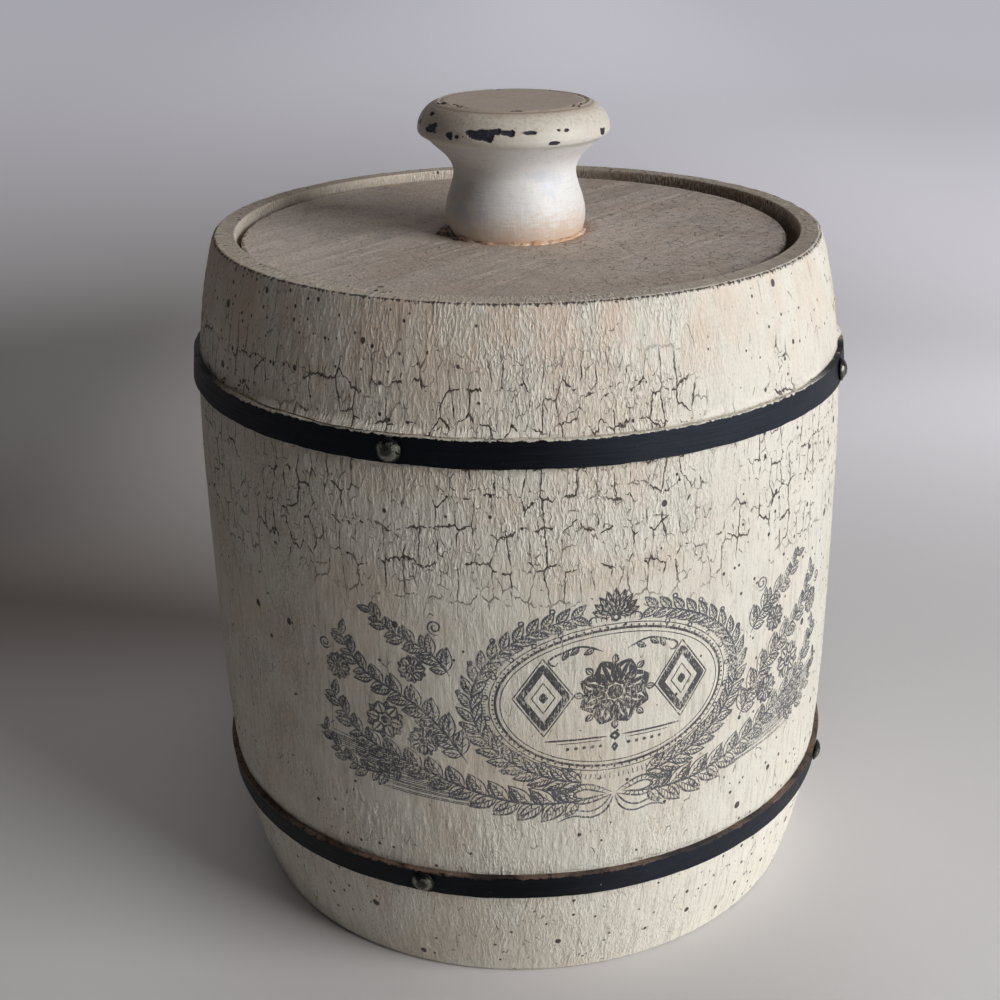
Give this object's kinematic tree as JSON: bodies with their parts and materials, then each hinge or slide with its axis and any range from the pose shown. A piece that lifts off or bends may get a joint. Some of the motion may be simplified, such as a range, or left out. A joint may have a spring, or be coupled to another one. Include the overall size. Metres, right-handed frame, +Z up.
{
  "type": "salt keg with lift-off lid",
  "caption": "Small barrel-shaped wooden keg of staves with nailed hoops, and a loose round lid that lies inside the rim and lifts off by its turned knob.",
  "frame": {"origin": "middle of the foot, on the surface the keg stands on", "axes": "+Z up along the keg's axis; -Y is the front; the loose lid lies a little towards -X in its rebate"},
  "size_m": [0.1406, 0.1406, 0.1712],
  "materials": {
    "painted_staves": "old cream brush paint on wood, speckled and crackled",
    "bare_board": "bare board",
    "black_hoop": "worn black paint",
    "nail_steel": "dull worn steel with traces of black paint",
    "painted_lid": "old grey-cream brush paint on wood, scratched and crackled",
    "painted_knob": "glossy old white paint, chipped at the edge",
    "screw_steel": "plain steel",
    "glue": "yellowed glue"
  },
  "bodies": {
    "keg": {"stave_01": "painted_staves", "stave_02": "painted_staves", "stave_03": "painted_staves", "stave_04": "painted_staves", "stave_05": "painted_staves", "stave_06": "painted_staves", "stave_07": "painted_staves", "stave_08": "painted_staves", "stave_09": "painted_staves", "stave_10": "painted_staves", "stave_11": "painted_staves", "stave_12": "painted_staves", "bottom_head": "bare_board", "upper_hoop": "black_hoop", "lower_hoop": "black_hoop", "upper_hoop_nails": "nail_steel", "lower_hoop_nails": "nail_steel"},
    "lid": {"lid_disc": "painted_lid", "knob": "painted_knob", "knob_screw": "screw_steel", "glue_bead": "glue"}
  },
  "joints": [
    {"name": "lid_lift", "type": "slide", "parent": "keg", "child": "lid", "axis": [0, 0, 1], "range_m": [0, 0.06]}
  ]
}
